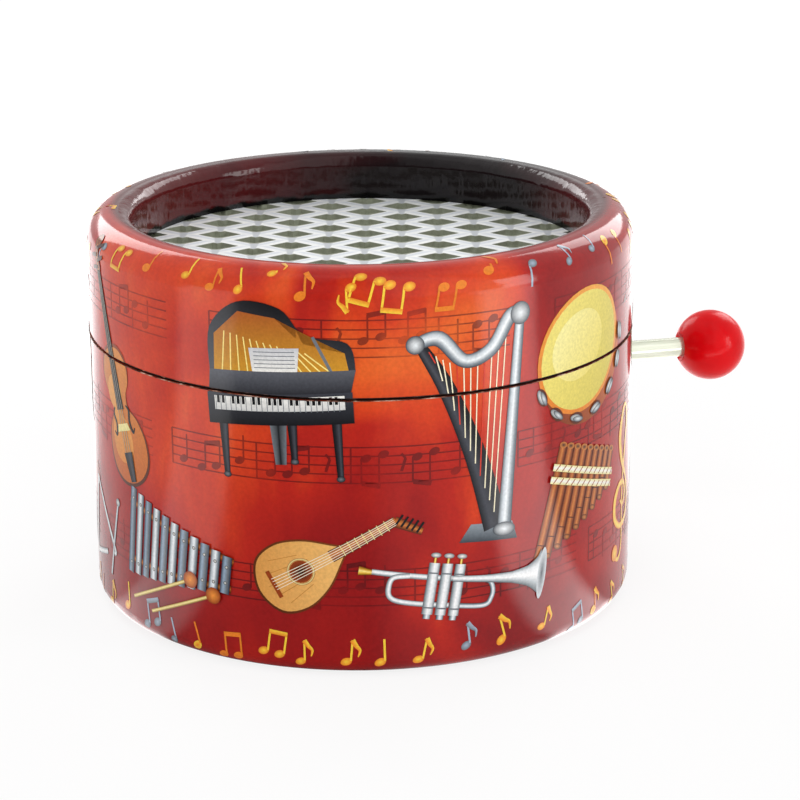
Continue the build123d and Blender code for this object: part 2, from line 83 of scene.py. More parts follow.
class Nodes:
    """Short calls that add nodes to a tree."""

    def __init__(self, tree):
        self.tree = tree

    def new(self, kind, **settings):
        node = self.tree.nodes.new("ShaderNode" + kind)
        for name, setting in settings.items():
            setattr(node, name, setting)
        return node

    def fit(self, socket, value):
        """Links an output to a socket, or writes a number or a colour into it."""
        if isinstance(value, bpy.types.NodeSocket):
            self.tree.links.new(value, socket)
            return
        if isinstance(value, tuple) and len(value) == 3 and socket.type == "RGBA":
            value = (*value, 1.0)
        socket.default_value = value

    def vector(self, operation, first, second=None, scale=None):
        node = self.new("VectorMath", operation=operation)
        self.fit(node.inputs[0], first)
        if second is not None:
            self.fit(node.inputs[1], second)
        if scale is not None:
            self.fit(node.inputs["Scale"], scale)
        return node.outputs["Value" if operation in ("DOT_PRODUCT", "LENGTH") else "Vector"]

    def math(self, operation, first, second=0.0):
        node = self.new("Math", operation=operation)
        self.fit(node.inputs[0], first)
        self.fit(node.inputs[1], second)
        return node.outputs[0]

    def plus(self, first, second):
        return self.math("ADD", first, second)

    def minus(self, first, second):
        return self.math("SUBTRACT", first, second)

    def times(self, first, second):
        return self.math("MULTIPLY", first, second)

    def span(self, value, low, high, start=0.0, end=1.0):
        """Maps low to high smoothly onto start to end."""
        node = self.new("MapRange", interpolation_type="SMOOTHSTEP")
        for socket, setting in zip(node.inputs, (value, low, high, start, end)):
            self.fit(socket, setting)
        return node.outputs[0]


class Finish(Nodes):
    """A node material on one Principled shader. Places in it are in millimetres."""

    def __init__(self, name, roughness=0.5, metallic=0.0, coat=0.0, coat_roughness=0.05, level=0.5):
        self.material = bpy.data.materials.new(name)
        self.material.use_nodes = True
        super().__init__(self.material.node_tree)
        self.shader = self.tree.nodes["Principled BSDF"]
        self.set("Roughness", roughness)
        self.set("Metallic", metallic)
        self.set("Coat Weight", coat)
        self.set("Coat Roughness", coat_roughness)
        self.set("IOR", BASE_IOR)
        self.set("Specular IOR Level", level)
        self.place = self.vector("SCALE", self.new("TexCoord").outputs["Object"], scale=1 / MM)

    def set(self, socket, value):
        """Sets or links one of the shader's sockets."""
        self.fit(self.shader.inputs[socket], value)

    def along(self, arrow):
        """How far the place lies along an arrow."""
        return self.vector("DOT_PRODUCT", self.place, arrow)

    def across(self):
        """Distance from the case's axis."""
        return self.vector("LENGTH", self.vector("MULTIPLY", self.place, (1, 1, 0)))

    def height(self):
        """Height over the table."""
        parts = self.new("SeparateXYZ")
        self.fit(parts.inputs[0], self.place)
        return parts.outputs["Z"]

    def noise(self, scale, detail=3.0, stretch=(1, 1, 1), distortion=0.0):
        """Noise with `scale` features to the millimetre."""
        node = self.new("TexNoise")
        self.fit(node.inputs["Vector"], self.vector("MULTIPLY", self.place, stretch))
        self.fit(node.inputs["Scale"], scale)
        self.fit(node.inputs["Detail"], detail)
        self.fit(node.inputs["Distortion"], distortion)
        return node.outputs[0]

    def ramp(self, value, *stops):
        """Colours along a value; each stop is a position and a colour."""
        node = self.new("ValToRGB")
        while len(node.color_ramp.elements) < len(stops):
            node.color_ramp.elements.new(1.0)
        for element, (position, colour) in zip(node.color_ramp.elements, stops):
            element.position = position
            element.color = (*colour, 1.0)
        self.fit(node.inputs[0], value)
        return node.outputs[0]

    def two_tone(self, value, first, second, low=0.3, high=0.7):
        """From one screen colour to another while the value goes from low to high."""
        return self.ramp(value, (low, tone(*first)), (high, tone(*second)))

    def mix(self, first, second, share, blend="MIX"):
        node = self.new("Mix", data_type="RGBA", blend_type=blend)
        self.fit(node.inputs["Factor"], share)
        self.fit(node.inputs[6], first)
        self.fit(node.inputs[7], second)
        return node.outputs[2]

    def bump(self, height, depth, after=None):
        """Relief: `depth` is in millimetres between height 0 and height 1."""
        node = self.new("Bump")
        self.fit(node.inputs["Strength"], 1.0)
        self.fit(node.inputs["Distance"], depth * MM)
        self.fit(node.inputs["Height"], height)
        if after is not None:
            self.fit(node.inputs["Normal"], after)
        return node.outputs[0]

    def wear(self, *names):
        """Puts this finish on CAD nodes."""
        for name in names:
            nodes[name].data.materials.clear()
            nodes[name].data.materials.append(self.material)


# ---- Printed paper ----

WARM_SIDE = FRONT - 0.35  # the print is most orange here, and on the opposite side
# The inside of the rim is maroon print with painted shade: black towards the side set below, and spreading
# over the rim's top, most at the back.
SHADE_SIDE = math.radians(50)  # the inside of the rim is darkest here
LINING_FOOT = (43.0, 44.0)  # heights between which the lining of the rim begins
RIM_CREST = 31.6  # the dark ground ends at this radius at the front
SPILL_SIDE = 1.0  # how much further out it ends at the sides
SPILL_BACK = 2.2  # and how much more at the back
FOOT_SHADOW_TOP = 1.0  # height of the painted shadow over the grille


def print_ground(finish):
    """Orange and red clouds, with the inside of the rim dark: maroon print that painted shade takes to black
    on one side, and a painted shadow along its foot; gives the colour and where that inside is.
    """
    height, across = finish.height(), finish.across()
    cloud = finish.minus(finish.noise(0.05, 2.0, (1.0, 1.0, 0.75), 0.6), 0.5)
    stroke = finish.minus(finish.noise(0.22, 3.0, (1.0, 1.0, 0.35), 1.2), 0.5)
    facing = finish.math("ABSOLUTE", finish.along(pointer(WARM_SIDE, 1 / CASE_RADIUS)))
    heat = finish.times(finish.span(facing, 0.35, 1.0), 0.3)
    heat = finish.plus(heat, finish.span(height, 2.0, 46.0, 0.0, 0.34))
    heat = finish.plus(heat, finish.times(cloud, 1.5))
    heat = finish.plus(heat, finish.times(stroke, 0.22))
    ground = finish.ramp(
        heat,
        (0.0, tone(132, 14, 18)),
        (0.22, tone(154, 20, 18)),
        (0.45, tone(180, 32, 18)),
        (0.64, tone(210, 62, 22)),
        (0.95, tone(232, 108, 40)),
    )
    grain = finish.ramp(finish.noise(2.2, 2.0), (0.3, (0.86, 0.84, 0.84)), (0.7, (1, 1, 1)))
    ground = finish.mix(ground, grain, 1.0, "MULTIPLY")
    # Painted shade: the maroon lining goes to black towards the shaded side.
    turned = finish.vector("DOT_PRODUCT", finish.vector("NORMALIZE", finish.place), pointer(SHADE_SIDE))
    dark = finish.ramp(
        finish.plus(turned, finish.times(cloud, 0.5)),
        (0.0, tone(88, 20, 20)),
        (0.25, tone(76, 14, 18)),
        (0.5, tone(20, 12, 14)),
        (0.75, tone(12, 11, 14)),
    )
    # Painted shade: the dark ground spreads over the rim's top, further at the sides and most at the back.
    spill = finish.plus(finish.along(pointer(FRONT, -SPILL_BACK / CASE_RADIUS)), SPILL_SIDE)
    reach = finish.minus(across, finish.math("MAXIMUM", spill, 0.0))
    over_grille = finish.span(height, *LINING_FOOT)
    darkened = finish.times(finish.span(reach, RIM_CREST, RIM_CREST - 1.5), over_grille)
    # Painted shadow: near black along the foot of the lining, where it meets the grille.
    shadow_line = finish.plus(height, finish.times(stroke, 1.6))
    foot_shadow = finish.span(shadow_line, GRILLE_TOP + FOOT_SHADOW_TOP, GRILLE_TOP + FOOT_SHADOW_TOP / 2)
    dark = finish.mix(dark, tone(9, 8, 9), foot_shadow)
    inside = finish.times(finish.span(across, 31.3, 30.3), over_grille)
    return finish.mix(ground, dark, darkened), inside


def varnished(name):
    """Ink under gloss varnish. The coat is thin, so the print stays clear except at a slant."""
    finish = Finish(name, roughness=0.6, coat=1.0, coat_roughness=0.11, level=0.04)
    finish.set("Coat IOR", VARNISH_IOR)
    return finish


def paper_relief(finish, inside):
    """Soft waves of the glued paper, and the folds where it turns down inside the rim."""
    waves = finish.noise(0.06, 1.0, (1.0, 1.0, 0.4))
    fibre = finish.noise(0.9, 2.0)
    folds = finish.times(finish.noise(0.3, 0.0, (1.0, 1.0, 0.5), 0.4), inside)
    creases = finish.times(finish.noise(1.3, 1.0, (1.0, 1.0, 0.3)), inside)
    relief = finish.bump(waves, 0.25)
    relief = finish.bump(fibre, 0.012, after=relief)
    relief = finish.bump(folds, 0.2, after=relief)
    relief = finish.bump(creases, 0.045, after=relief)
    finish.set("Coat Normal", relief)
    finish.set("Normal", relief)


def make_wrap_finish():
    finish = varnished("printed_wrap")
    ground, inside = print_ground(finish)
    finish.set("Base Color", ground)
    paper_relief(finish, inside)
    finish.wear("base_wrap", "lid_wrap")


def make_tint_finish():
    """Printed pictures: each point's tint, with the fine unevenness of the print."""
    finish = varnished("printed_picture")
    tint = finish.new("VertexColor", layer_name="Tint")
    grain = finish.ramp(finish.noise(3.0, 2.0), (0.3, (0.84, 0.84, 0.84)), (0.7, (1, 1, 1)))
    finish.set("Base Color", finish.mix(tint.outputs[0], grain, 1.0, "MULTIPLY"))
    paper_relief(finish, 0.0)
    return finish.material


def make_ink_finish():
    """Faded music: the ground shows through, more in some places than in others."""
    finish = varnished("faded_music")
    ground, inside = print_ground(finish)
    fade = finish.span(finish.noise(0.11, 3.0), 0.34, 0.6, 0.4, 0.95)
    ink = finish.mix(finish.mix(ground, tone(62, 16, 22), 0.6), (0.0, 0.0, 0.0), 0.25)
    finish.set("Base Color", finish.mix(ground, ink, fade))
    paper_relief(finish, inside)
    return finish.material


# ---- Flat drawings in millimetres ----

STEEL = tones((60, 66, 74), (196, 204, 210), (240, 244, 246), (140, 150, 158), (44, 50, 58))
SILVER = tones((104, 112, 118), (226, 230, 232), (250, 250, 250), (178, 186, 190), (80, 88, 94))
GOLD = tones((120, 76, 14), (228, 178, 60), (252, 232, 140), (206, 150, 42), (104, 62, 12))
WOOD = tones((84, 36, 14), (170, 88, 34), (204, 124, 58), (150, 72, 28), (72, 30, 12))
EBONY = tones((14, 14, 18), (70, 72, 80), (34, 34, 40), (10, 10, 12))
CANE = tones((150, 116, 48), (232, 206, 120), (246, 230, 160), (204, 170, 84), (134, 98, 40))
WHITE = tone(240, 238, 232)
BLACK = tone(16, 16, 20)
GREY = tone(112, 118, 124)
NAVY = tone(34, 48, 70)
CREAM = tone(236, 224, 150)
AMBER = tone(226, 128, 36)
RUST = tone(150, 62, 20)
YELLOW = tone(246, 206, 62)
ORANGE = tone(236, 130, 36)
PALE_BLUE = tone(164, 178, 196)


def smooth(points, steps=6, closed=False):
    """A rounded line through the points."""
    count = len(points)
    made = []
    for i in range(count if closed else count - 1):
        if closed:
            near = [points[(i + k) % count] for k in (-1, 0, 1, 2)]
        else:
            near = [points[min(max(i + k, 0), count - 1)] for k in (-1, 0, 1, 2)]
        for step in range(steps):
            t = step / steps
            weights = (
                -0.5 * t + t * t - 0.5 * t**3,
                1 - 2.5 * t * t + 1.5 * t**3,
                0.5 * t + 2 * t * t - 1.5 * t**3,
                -0.5 * t * t + 0.5 * t**3,
            )
            made.append(tuple(sum(w * p[axis] for w, p in zip(weights, near)) for axis in (0, 1)))
    if not closed:
        made.append(points[-1])
    return made


def mirror(half, steps):
    """A rounded outline from its right half, which starts and ends on the middle line."""
    return smooth(half + [(-x, y) for x, y in half[-2:0:-1]], steps, True)


def resize(outline, wide, tall, right=0.0, up=0.0):
    return [(x * wide + right, y * tall + up) for x, y in outline]


def around(centre, radii, sides, turn=0.0):
    """Points round an ellipse."""
    cosine, sine = math.cos(turn), math.sin(turn)
    made = []
    for k in range(sides):
        angle = 2 * math.pi * k / sides
        x, y = radii[0] * math.cos(angle), radii[1] * math.sin(angle)
        made.append((centre[0] + x * cosine - y * sine, centre[1] + x * sine + y * cosine))
    return made


def blend_tint(first, second, share):
    return tuple(a + (b - a) * share for a, b in zip(first, second))


class Picture:
    """Tinted faces, one over the other, that are later laid on the paper."""

    def __init__(self, step=1):
        self.faces = []
        self.level = 0
        self.step = step  # 0 keeps every piece in one layer

    def add(self, corners, tints, over=0):
        self.faces.append((corners, tints, self.level + over * self.step))

    def fill(self, outline, tint, far_tint, along=(0, 1)):
        """A filled outline, shaded from tint to far_tint along a direction."""
        reach = [x * along[0] + y * along[1] for x, y in outline]
        low, high = min(reach), max(reach)
        tints = [blend_tint(tint, far_tint, (r - low) / (high - low)) for r in reach]
        self.level += self.step
        self.add(list(outline), tints)

    def tube(self, path, widths, tints, over=0):
        """A round bar along a path; the tints run from its left edge to its right edge."""
        self.level += 0 if over else self.step
        if isinstance(widths, (int, float)):
            widths = [widths] * len(path)
        if len(widths) != len(path):
            last = len(widths) - 1
            given = widths
            widths = []
            for k in range(len(path)):
                place = k * last / (len(path) - 1)
                low = int(place)
                widths.append(given[low] + (given[min(low + 1, last)] - given[low]) * (place - low))
        rows = []
        for k, (x, y) in enumerate(path):
            ahead = path[min(k + 1, len(path) - 1)]
            behind = path[max(k - 1, 0)]
            run = (ahead[0] - behind[0], ahead[1] - behind[1])
            length = math.hypot(*run) or 1.0
            side = (-run[1] / length, run[0] / length)
            spread = [0.5 - c / (len(tints) - 1) for c in range(len(tints))]
            rows.append([(x + side[0] * widths[k] * s, y + side[1] * widths[k] * s) for s in spread])
        for near, far in zip(rows, rows[1:]):
            for c in range(len(tints) - 1):
                corners = [near[c], near[c + 1], far[c + 1], far[c]]
                self.add(corners, [tints[c], tints[c + 1], tints[c + 1], tints[c]], over)

    def line(self, start, end, width, tint):
        """A thin line over what is drawn so far; lines share their layer."""
        self.tube([start, end], width, (tint, tint), over=0.5)

    def disc(self, centre, radii, middle, edge, turn=0.0, sides=24):
        """An ellipse, shaded from its middle to its edge."""
        if isinstance(radii, (int, float)):
            radii = (radii, radii)
        rim = around(centre, radii, sides, turn=turn)
        self.level += self.step
        for k in range(sides):
            self.add([centre, rim[k], rim[(k + 1) % sides]], [middle, edge, edge])


def draw_piano(p):
    """A grand piano with its lid up, seen from the keys' side."""
    for x, foot in ((-7.2, -11.0), (7.6, -11.4), (2.0, -9.0)):
        p.tube([(x, -3.5), (x, foot)], [1.3, 0.8], EBONY)
        p.disc((x, foot), (0.55, 0.4), GREY, BLACK)
    p.tube([(0.2, -4), (0.2, -9.4)], [2.2, 1.4], (GREY, BLACK, GREY))
    lid = [(-8.6, 2.2), (-8.2, 8.0), (-4.0, 11.4), (1.5, 10.6), (4.4, 7.2), (9.6, 6.0), (10.4, 2.4)]
    p.fill(smooth(lid), tone(78, 80, 88), tone(18, 18, 22), (0.3, 1))
    board = [(-8.0, 1.8), (9.6, 2.2), (9.2, 4.8), (4.0, 6.2), (0.8, 9.4), (-4, 10.2), (-7.6, 7.2)]
    p.fill(board, GOLD[3], WOOD[1])
    for k in range(13):
        x = -6.8 + k * 1.2
        p.line((x, 2.2), (x * 0.72 - 1.2, 7.6 - k * 0.22), 0.16, GOLD[2])
    p.line((7.6, 2.0), (5.4, 7.0), 0.4, GREY)
    p.fill([(-9, -0.6), (9.6, -0.4), (10.4, 2.6), (-8.6, 2.6)], tone(30, 30, 36), tone(92, 94, 102))
    p.fill([(-9.2, -4.4), (9.8, -4.2), (9.8, -0.2), (-9.2, -0.4)], BLACK, tone(58, 60, 68))
    p.fill([(-8.2, -2.6), (8.8, -2.4), (8.8, -0.6), (-8.2, -0.8)], tone(206, 206, 204), WHITE)
    for k in range(24):
        x = -8.0 + k * 0.7
        p.line((x, -2.6), (x, -0.8), 0.09, GREY)
        if k % 7 not in (2, 6):
            p.line((x + 0.35, -1.7), (x + 0.35, -0.7), 0.38, BLACK)
    p.fill([(-2.6, 2.6), (3.2, 2.6), (3.6, 5.6), (-2.9, 5.6)], WHITE, tone(204, 204, 208))
    for k in range(5):
        p.line((-2.3, 3.1 + k * 0.5), (3.0, 3.1 + k * 0.5), 0.1, GREY)


def draw_violin(p):
    half = [(0, 10.2), (2.2, 9.6), (3.5, 7.6), (3.2, 5.4), (2.1, 3.9), (2.1, 2.2), (3.6, 0.6)]
    half += [(4.5, -2.0), (4.1, -4.8), (2.4, -6.6), (0, -7.2)]
    body = mirror(half, 5)
    p.fill(body, WOOD[0], RUST)
    p.fill(resize(body, 0.93, 0.95, up=0.07), tone(196, 98, 34), tone(222, 140, 62), (0.6, 1))
    p.fill(resize(body, 0.52, 0.62, -0.8, 0.2), tone(222, 140, 60), tone(236, 168, 88), (0.6, 1))
    hole = [(1.5, 2.6), (2.0, 1.9), (1.7, 0.6), (2.1, -0.7), (2.6, -0.2)]
    for side in (-1, 1):
        p.tube(smooth(resize(hole, side, 1)), [0.2, 0.42, 0.42, 0.2], (BLACK, BLACK))
    p.tube([(0, 2.2), (0, 19.0)], [1.7, 1.1], EBONY)
    p.tube([(0, 19.0), (0, 22.2)], [1.5, 1.0], WOOD)
    p.disc((0.1, 22.5), 0.95, WOOD[2], WOOD[0])
    p.disc((0.1, 22.5), 0.4, WOOD[0], WOOD[3])
    for k in range(4):
        side = 1 if k % 2 else -1
        p.line((0, 19.4 + k * 0.75), (side * 1.9, 19.6 + k * 0.75), 0.45, WOOD[4])
    for k in (-1, 0, 1):
        p.line((0.55 * k, -3.2), (0.4 * k, 19.0), 0.12, tone(170, 158, 138))
    p.fill([(-1.6, -0.4), (1.6, -0.4), (1.2, 0.5), (-1.2, 0.5)], CREAM, CANE[2])
    p.tube([(0, -3.0), (0, -6.6)], [1.9, 1.1], EBONY)


def draw_trumpet(p):
    """A trumpet lying along x, its bell to the right."""
    p.tube(smooth([(-13, 1.8), (4, 1.8)]), 1.0, SILVER)
    loop = smooth([(-6.5, 1.8), (-9.2, 1.2), (-9.8, -0.6), (-9.2, -2.4), (-6.5, -3.0), (1.0, -3.0)], 8)
    p.tube(loop, 0.95, SILVER)
    turn = smooth([(4, 1.8), (7.4, 1.7), (8.7, 0.3), (8.7, -1.5), (7.4, -2.9), (1.5, -3.0)], 8)
    p.tube(turn, 0.95, STEEL)
    for k in range(3):
        x = -2.6 + 2.3 * k
        p.tube([(x, 4.4), (x, -4.8)], 1.9, SILVER)
        p.tube([(x, -4.8), (x, -5.6)], 1.3, STEEL)
        p.tube([(x, 4.4), (x, 5.6)], 0.5, GOLD)
        p.disc((x, 5.8), (0.9, 0.45), WHITE, GREY)
        p.line((x - 0.95, 2.6), (x + 0.95, 2.6), 0.25, GREY)
        p.line((x - 0.95, -3.6), (x + 0.95, -3.6), 0.25, GREY)
    bell = smooth([(1.0, 1.8), (7, 1.9), (12, 2.0), (15.4, 2.1), (17.4, 2.2), (18.4, 2.3)], 6)
    p.tube(bell, [1.0, 1.3, 2.0, 3.6, 6.2, 9.0], SILVER)
    p.disc((18.6, 2.3), (0.9, 4.6), tone(70, 76, 84), tone(206, 212, 216))
    p.tube([(-13, 1.8), (-15.2, 1.8)], [0.9, 1.6], GOLD)


def draw_harp(p):
    p.fill([(1.2, -12.4), (8.2, -12.4), (7.4, -10.4), (2.4, -10.4)], STEEL[0], STEEL[3])
    p.tube(smooth([(5.4, -10.8), (2.4, -3.0), (-1.4, 4.4), (-4.6, 9.0)]), [3.0, 2.5, 1.9, 1.2], EBONY)
    for k in range(12):
        share = k / 11
        top = (-3.8 + 8.6 * share, 8.6 - 1.6 * math.sin(share * math.pi) + 2.6 * share**3)
        foot = (-3.0 + 8.0 * share**0.9, 7.4 - 16.6 * share**0.9)
        p.line(top, foot, 0.13, tone(250, 240, 206) if k % 4 else tone(214, 60, 40))
    p.tube([(6.4, -11.0), (6.4, 11.4)], [1.7, 1.2], STEEL)
    neck = smooth([(-5.2, 9.4), (-2.8, 10.0), (0.2, 7.6), (3.2, 8.8), (5.2, 12.2), (7.0, 12.4)], 8)
    p.tube(neck, [1.3, 1.7, 1.5, 1.6, 1.7, 1.2], STEEL)
    p.disc((-5.3, 9.3), 1.0, STEEL[2], STEEL[0])
    p.disc((6.4, 12.4), 1.25, STEEL[2], STEEL[0])
    p.disc((6.4, -11.2), (1.4, 0.8), STEEL[2], STEEL[0])


def draw_tambourine(p):
    rim = around((0, 0), (8.6, 7.6), 40, turn=0.3)
    p.fill(resize(rim, 1, 1, 0.5, -1.7), tone(128, 52, 16), tone(206, 104, 34), (1, 0.4))
    p.fill(rim, AMBER, tone(240, 168, 72), (1, 1))
    p.fill(resize(rim, 0.93, 0.93), tone(238, 222, 120), tone(214, 196, 84), (1, -1))
    p.fill(resize(rim, 0.6, 0.55, -0.8, 1.0), tone(246, 236, 160), tone(234, 216, 112), (1, -1))
    for k in range(7):
        angle = -2.9 + 0.47 * k
        x, y = 8.9 * math.cos(angle) + 0.3, 7.4 * math.sin(angle) - 1.1
        turn = angle + math.pi / 2
        p.disc((x, y), (1.25, 0.75), BLACK, tone(96, 40, 14), turn)
        p.disc((x - 0.2, y + 0.12), (1.05, 0.42), WHITE, GREY, turn)
        p.disc((x + 0.2, y - 0.2), (1.05, 0.36), SILVER[1], STEEL[0], turn)


def draw_panpipes(p):
    for k in range(9):
        x = -6.0 + 1.5 * k
        foot = -8.4 + 1.35 * k
        p.tube([(x, foot), (x, 7.6)], 1.45, WOOD)
        p.disc((x, foot), (0.7, 0.4), WOOD[2], WOOD[0])
        p.disc((x, 7.6), (0.72, 0.42), BLACK, WOOD[2])
        p.line((x - 0.7, foot + 2.6), (x + 0.7, foot + 2.6), 0.14, WOOD[0])
    for y, slope in ((4.6, 0.0), (2.9, 0.12)):
        p.tube([(-7.2, y), (7.2, y + slope)], 0.95, (CREAM, WHITE, CREAM))
        for k in range(12):
            p.line((-6.6 + 1.2 * k, y - 0.4), (-6.0 + 1.2 * k, y + 0.45), 0.16, RUST)


def draw_xylophone(p):
    for side in (-1, 1):
        p.tube([(-9.6, side * 4.2), (9.6, side * 1.9)], 1.1, WOOD)
    blue = (NAVY, tone(150, 170, 190), GREY, NAVY)
    for k in range(11):
        x = -8.8 + 1.76 * k
        half = 6.2 - 0.36 * k
        p.tube([(x, -half), (x, half)], 1.4, STEEL if k % 2 else blue)
        for side in (-1, 1):
            p.disc((x, side * (half - 1.5)), 0.26, WHITE, BLACK, sides=10)
    for start, end in (((-7.4, -9.2), (3.4, -2.4)), ((-3.2, -9.6), (7.2, -3.4))):
        p.tube([start, end], 0.5, CANE)
        p.disc(end, 1.15, tone(240, 150, 60), RUST)


def draw_triangle(p):
    p.tube(smooth([(0, 8.4), (0.8, 6.6), (0, 5.2), (-0.8, 6.6), (0, 8.4)]), 0.28, (RUST, AMBER, RUST))
    loop = [(1.6, -4.6), (-4.6, -4.8), (-5.4, -4.2), (-0.8, 5.0), (0.8, 5.0), (5.0, -3.6), (4.6, -4.6)]
    p.tube(smooth(loop, 7), 0.85, SILVER)
    p.tube([(2.4, -7.8), (8.6, 2.6)], 0.6, STEEL)
    p.disc((8.7, 2.8), 0.6, WHITE, GREY)


def draw_bell(p):
    p.tube([(0, 5.2), (0, 12.6)], [1.5, 2.2, 1.5, 2.0, 1.4], WOOD)
    p.disc((0, 12.8), (1.1, 0.8), WOOD[2], WOOD[0])
    p.disc((0, -6.6), 1.2, GOLD[2], GOLD[0])
    cup = smooth([(0, 5.6), (0, 4.6), (0, 2.0), (0, -2.0), (0, -4.6), (0, -6.0)], 5)
    p.tube(cup, [1.6, 4.6, 6.4, 7.6, 9.2, 12.2], GOLD)
    p.disc((0, -6.0), (6.1, 0.95), tone(90, 54, 10), GOLD[1])
    for y, width in ((2.4, 3.1), (-3.6, 4.1)):
        p.line((-width, y), (width, y), 0.24, GOLD[0])


def draw_lute(p):
    half = [(0, 5.0), (1.6, 3.4), (3.9, 0.2), (5.0, -3.6), (3.9, -7.2), (0, -8.8)]
    body = mirror(half, 6)
    p.fill(body, tone(88, 40, 14), tone(120, 60, 22))
    p.fill(resize(body, 0.94, 0.95, up=-0.1), tone(214, 150, 74), tone(236, 184, 108), (0.5, 1))
    for k in range(5):
        x = -3.2 + 1.6 * k
        p.line((x, -7.0 + abs(x) * 0.5), (x * 0.7, 0.6 - abs(x) * 0.6), 0.09, tone(190, 124, 56))
    p.disc((0, -2.0), 1.55, BLACK, RUST)
    rosette = around((0, -2.0), (1.75, 1.75), 32)
    p.tube(rosette + rosette[:2], 0.3, (RUST, CREAM, RUST))
    p.tube([(0, 2.6), (0, 12.4)], [1.7, 1.3], (WOOD[0], WOOD[2], WOOD[1], WOOD[0]))
    p.tube([(0, 12.2), (3.2, 14.6)], [1.5, 1.0], WOOD)
    p.line((-2.0, -6.2), (2.0, -6.2), 0.6, RUST)
    for k in range(5):
        p.line((-0.8 + 0.4 * k, -6.2), (-0.5 + 0.25 * k, 12.2), 0.09, tone(244, 234, 208))
        p.line((0.5 + 0.6 * k, 12.1 + 0.45 * k), (-0.2 + 0.6 * k, 13.6 + 0.45 * k), 0.3, BLACK)
    for k in range(7):
        p.line((-0.8, 4.4 + k * 1.1), (0.8, 4.4 + k * 1.1), 0.1, CREAM)


def draw_metronome(p):
    p.fill([(-5.0, -7.4), (5.0, -7.4), (5.0, -5.8), (-5.0, -5.8)], WOOD[0], WOOD[3])
    p.fill([(-4.6, -5.8), (4.6, -5.8), (1.9, 7.6), (-1.9, 7.6)], WOOD[0], WOOD[2], (1, 0.1))
    p.fill([(-2.9, -4.6), (2.9, -4.6), (1.3, 6.4), (-1.3, 6.4)], tone(28, 20, 18), tone(70, 54, 40))
    p.fill([(-0.9, -4.4), (0.9, -4.4), (0.6, 5.8), (-0.6, 5.8)], CREAM, WHITE)
    for k in range(9):
        p.line((-0.6, -3.8 + k * 1.05), (0.6, -3.8 + k * 1.05), 0.13, BLACK)
    p.tube([(0.4, -4.6), (3.4, 9.0)], 0.34, STEEL)
    p.fill([(1.3, 2.0), (3.5, 1.6), (3.3, 3.9), (1.9, 4.1)], GOLD[1], GOLD[2])
    p.disc((0, 7.9), (2.0, 0.6), WOOD[2], WOOD[0])


def draw_clef(p):
    """A treble clef."""
    line = [(-0.4, -1.0), (0.9, -1.6), (1.7, -0.5), (1.0, 0.8), (-0.8, 0.9), (-2.2, -0.6), (-2.0, -2.8)]
    line += [(0.0, -4.0), (2.4, -3.4), (3.2, -1.2), (2.0, 1.2), (-0.4, 3.6), (-1.6, 6.4), (-0.8, 9.2)]
    line += [(0.4, 9.8), (1.3, 8.0), (0.9, 5.4), (0.3, 1.0), (0.7, -3.0), (1.1, -6.2), (0.2, -7.8)]
    line += [(-1.4, -7.4)]
    widths = [0.3, 0.5, 0.7, 0.6, 0.8, 1.0, 0.9, 0.7, 0.9, 0.8, 0.6]
    widths += [0.9, 1.1, 0.8, 0.4, 0.8, 0.7, 0.45, 0.4, 0.45, 0.6, 0.5]
    p.tube(smooth(line, 6), widths, (ORANGE, YELLOW, YELLOW, ORANGE))
    p.disc((-1.3, -6.9), 0.95, YELLOW, ORANGE)


def draw_note(p, kind, tint, far_tint):
    """A small note: 0 is a quaver, 1 a crotchet, 2 a pair under a beam and 3 a sloping pair."""
    heads = [0.0] if kind < 2 else [0.0, 2.3]
    rise = 0.5 if kind == 3 else 0.0
    for k, x in enumerate(heads):
        p.disc((x, rise * k), (0.78, 0.56), tint, far_tint, turn=0.45, sides=14)
        p.line((x + 0.6, rise * k + 0.2), (x + 0.68, rise * k + 3.1), 0.28, tint)
    if kind == 0:
        flag = smooth([(0.66, 3.1), (1.2, 2.3), (1.7, 1.7), (1.5, 0.8)])
        p.tube(flag, [0.75, 0.6, 0.4, 0.15], (tint, far_tint))
    if kind > 1:
        p.tube([(0.55, 3.0), (3.1, 3.0 + rise)], 0.62, (tint, far_tint))


def draw_staff(p, length, dice):
    """Five lines with bars and notes, of one dark ink."""
    gap = 1.12
    ink = (0.0, 0.0, 0.0)
    for k in range(5):
        p.line((0, k * gap), (length, k * gap), 0.17, ink)
    x = 0.0
    while x < length - 4.0:
        p.line((x, 0), (x, 4 * gap), 0.22, ink)
        reach = min(x + dice.uniform(11, 17), length)
        at = x + 1.8
        while at < reach - 2.2:
            step = dice.randrange(0, 7)
            y = step * gap / 2 + 0.3
            up = 1 if step < 4 else -1
            kind = dice.random()
            if kind < 0.15:
                p.line((at, 1.4), (at + 0.5, 3.0), 0.35, ink)
                p.line((at + 0.5, 3.0), (at, 3.6), 0.3, ink)
            else:
                p.disc((at, y), (0.68, 0.48), ink, ink, turn=0.4, sides=12)
                p.line((at + 0.55 * up, y), (at + 0.55 * up, y + 3.2 * up), 0.22, ink)
                if kind > 0.55:
                    p.disc((at + 2.1, y + 0.5), (0.68, 0.48), ink, ink, turn=0.4, sides=12)
                    p.line((at + 2.1 + 0.55 * up, y + 0.5), (at + 2.1 + 0.55 * up, y + 3.7 * up), 0.22, ink)
                    p.line((at + 0.5 * up, y + 3.1 * up), (at + 2.2 + 0.5 * up, y + 3.5 * up), 0.6, ink)
                    at += 2.1
            at += dice.uniform(1.9, 3.3)
        x = reach


# ---- Laying the drawings on the paper ----

